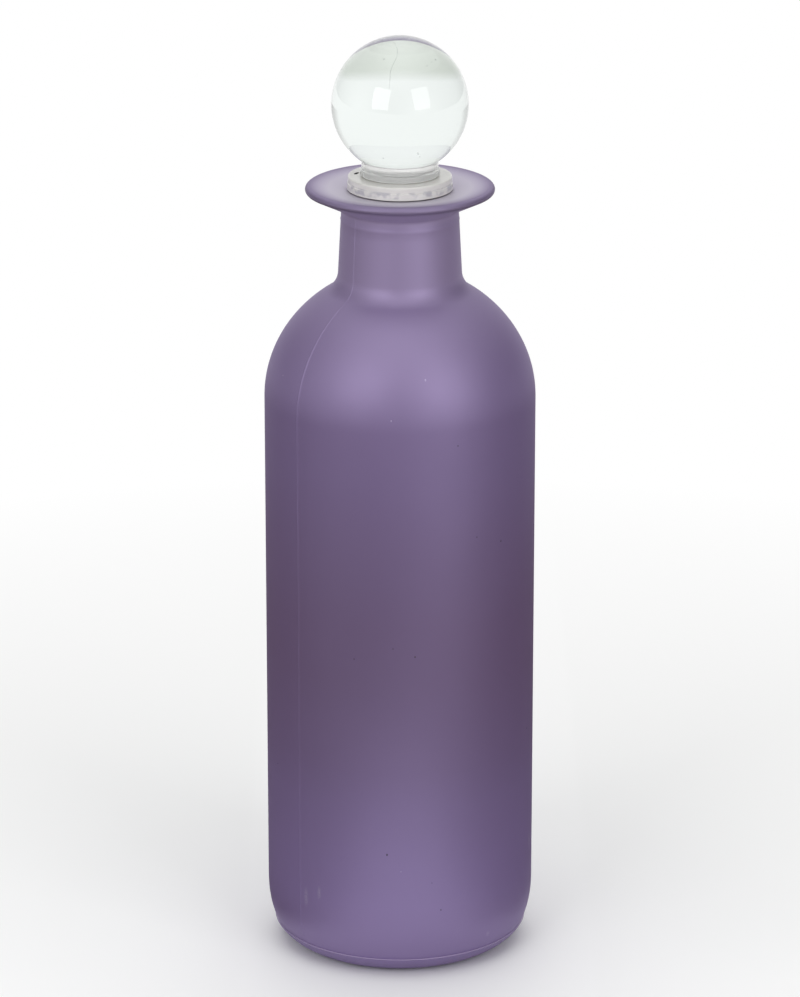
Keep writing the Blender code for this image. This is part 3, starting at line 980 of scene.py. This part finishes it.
def makeFloor(plan):
    bm = bmesh.new()
    bmesh.ops.create_grid(bm, x_segments=4, y_segments=4, size=plan["floorSize"] / 2)
    material, tree, shader = newMaterial("paleFloor")
    shader.inputs["Roughness"].default_value = plan["floorRoughness"]
    shader.inputs["Specular IOR Level"].default_value = plan["floorGloss"]
    place = objectPlace(tree)
    path = tree.nodes.new("ShaderNodeLightPath").outputs
    # one patch before the bottle is dark to soft gloss and to the light it gives back
    left, right, near, far = plan["darkPatch"]
    alongX = mathNode(tree, "COMPARE", axisPart(tree, place, "X"), (left + right) / 2, (right - left) / 2)
    alongY = mathNode(tree, "COMPARE", axisPart(tree, place, "Y"), (near + far) / 2, (far - near) / 2)
    inPatch = mathNode(tree, "MINIMUM", alongX, alongY)
    softGloss = mathNode(tree, "SUBTRACT", path["Is Glossy Ray"], path["Is Singular Ray"])
    softGloss = mathNode(tree, "MULTIPLY", mathNode(tree, "MAXIMUM", softGloss, 0.0), inPatch)
    given = mathNode(tree, "MULTIPLY", path["Is Diffuse Ray"], inPatch)
    tone = colourMix(tree, path["Is Transmission Ray"], plan["floorColour"], plan["throughGlass"])
    tone = colourMix(tree, mathNode(tree, "MAXIMUM", softGloss, given), tone, plan["flagColour"])
    feed(tree, tone, shader.inputs["Base Color"])
    # away from the bottle the floor passes into the white of the backdrop
    away = vectorNode(tree, "LENGTH", place)
    fade, glassFade = (rangeNode(tree, away, 0, 1, *plan[name]) for name in ("fade", "glassFade"))
    # a ray through glass counts as glossy too, and has its own fade
    inGloss = mathNode(tree, "SUBTRACT", path["Is Glossy Ray"], softGloss)
    inGloss = mathNode(tree, "SUBTRACT", inGloss, path["Is Transmission Ray"])
    seen = mathNode(tree, "MULTIPLY", fade, mathNode(tree, "MAXIMUM", path["Is Camera Ray"], inGloss))
    inGlass = mathNode(tree, "MULTIPLY", glassFade, path["Is Transmission Ray"])
    white = tree.nodes.new("ShaderNodeEmission").outputs["Emission"]
    shadeMix(tree, mathNode(tree, "MAXIMUM", seen, inGlass), shader.outputs["BSDF"], white)
    finishPiece(bm, "floor", material)


def makeFlags(plan, colour, roughness):
    # a mirror reflection passes through a flag, so that its edges don't show in the ball
    material, tree, shader = newMaterial("flagCard")
    shader.inputs["Base Color"].default_value = colour
    shader.inputs["Roughness"].default_value = roughness
    singular = tree.nodes.new("ShaderNodeLightPath").outputs["Is Singular Ray"]
    clear = tree.nodes.new("ShaderNodeBsdfTransparent").outputs["BSDF"]
    shadeMix(tree, singular, shader.outputs["BSDF"], clear)
    for name, (corner, along, across) in plan.items():
        bm = bmesh.new()
        corner, along, across = Vector(corner), Vector(along), Vector(across)
        corners = (corner, corner + along, corner + along + across, corner + across)
        bm.faces.new([bm.verts.new(place) for place in corners])
        card = finishPiece(bm, name + "Flag", material)
        hideFrom(card, "camera", "transmission", "shadow", "diffuse")


def makeShades(plan, colour, roughness):
    # these only cast a shadow
    material = plainMaterial("shadeCard", colour, roughness)
    for name, (place, wide, high) in plan.items():
        bm = bmesh.new()
        upright = Matrix.Rotation(math.pi / 2, 4, "X") @ Matrix.Diagonal((wide, high, 1, 1))
        matrix = Matrix.Translation(place) @ upright
        bmesh.ops.create_circle(bm, cap_ends=True, segments=32, radius=1, matrix=matrix)
        shade = finishPiece(bm, name, material)
        hideFrom(shade, "camera", "diffuse", "glossy", "transmission")


setRoom(roomPlan)
makeFloor(studioPlan)
makeShades(shadePlan, studioPlan["flagColour"], studioPlan["flagRoughness"])
makeFlags(flagPlan, studioPlan["flagColour"], studioPlan["flagRoughness"])
addBoxes(boxPlan)
bpy.context.scene.view_settings.view_transform = "Standard"
cycles = bpy.context.scene.cycles
cycles.max_bounces = cycles.transmission_bounces = studioPlan["bounces"]  # for glass inside glass
cycles.glossy_bounces = studioPlan["glossyBounces"]
print("studio set")
